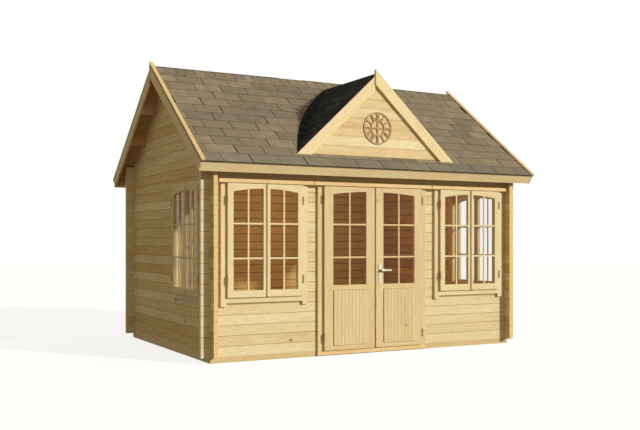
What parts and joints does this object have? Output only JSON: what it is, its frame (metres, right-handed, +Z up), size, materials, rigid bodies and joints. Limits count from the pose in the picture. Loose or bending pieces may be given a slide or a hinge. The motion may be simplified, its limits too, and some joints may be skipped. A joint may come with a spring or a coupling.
{
  "type": "log cabin",
  "caption": "Single-room cabin of notched logs with a shingled pitched roof, a cross gable with a clock dial, opening double doors and paired casement windows.",
  "frame": {"origin": "on the ground under the middle of the building", "axes": "+Z up, the front with the double door faces -Y, +X to the right of someone looking at the front"},
  "size_m": [4.4, 3.4376, 3.4357],
  "materials": {
    "pine": "planed, untreated",
    "dial": "stained",
    "shingles": "mineral-faced bitumen",
    "dark_shingles": "mineral-faced bitumen",
    "steel": "satin",
    "glass": "clear"
  },
  "bodies": {
    "root": {"back_fascia": "pine", "back_purlins": "pine", "back_roof_boards": "pine", "back_shingles": "shingles", "back_wall": "pine", "clock_dial": "dial", "door_frame_head": "pine", "door_frame_hinges": "steel", "door_frame_left": "pine", "door_frame_right": "pine", "door_threshold": "pine", "dormer_barge_left": "pine", "dormer_barge_right": "pine", "dormer_gable": "pine", "dormer_roof_left": "pine", "dormer_roof_right": "pine", "dormer_shingles_left": "dark_shingles", "dormer_shingles_right": "dark_shingles", "floor": "pine", "floor_joists": "pine", "front_fascia": "pine", "front_left_window_frame": "pine", "front_left_window_sashes": "pine", "front_purlins": "pine", "front_right_window_frame": "pine", "front_right_window_sashes": "pine", "front_roof_boards": "pine", "front_shingles": "shingles", "front_wall_left": "pine", "front_wall_over_door": "pine", "front_wall_right": "pine", "head_trims": "pine", "left_barge_boards": "pine", "left_edge_strips": "pine", "left_gable": "pine", "left_wall": "pine", "left_window_frame": "pine", "left_window_sashes": "pine", "perimeter_bearers": "pine", "ridge_purlin": "pine", "ridge_shingles": "shingles", "right_barge_boards": "pine", "right_edge_strips": "pine", "right_gable": "pine", "right_wall": "pine", "right_window_frame": "pine", "right_window_sashes": "pine", "window_glass": "glass", "window_hinges": "steel"},
    "left_leaf": {"left_door_leaf": "pine", "left_door_glass": "glass", "left_leaf_hinges": "steel"},
    "right_leaf": {"right_door_leaf": "pine", "right_door_glass": "glass", "right_leaf_hinges": "steel", "handle_plates": "steel"},
    "lever": {"door_lever": "steel"}
  },
  "joints": [
    {"name": "left_leaf_hinge", "type": "hinge", "parent": "root", "child": "left_leaf", "pos_m": [-0.6645, -1.5004, 0.98], "axis": [0, 0, -1], "range_deg": [0, 110]},
    {"name": "right_leaf_hinge", "type": "hinge", "parent": "root", "child": "right_leaf", "pos_m": [0.6645, -1.5004, 0.98], "axis": [0, 0, 1], "range_deg": [0, 110]},
    {"name": "lever_turn", "type": "hinge", "parent": "right_leaf", "child": "lever", "pos_m": [0.0695, -1.435, 0.955], "axis": [0, 1, 0], "range_deg": [0, 40], "stiffness_Nm_per_rad": 1.5, "springref_deg": -28.65}
  ]
}
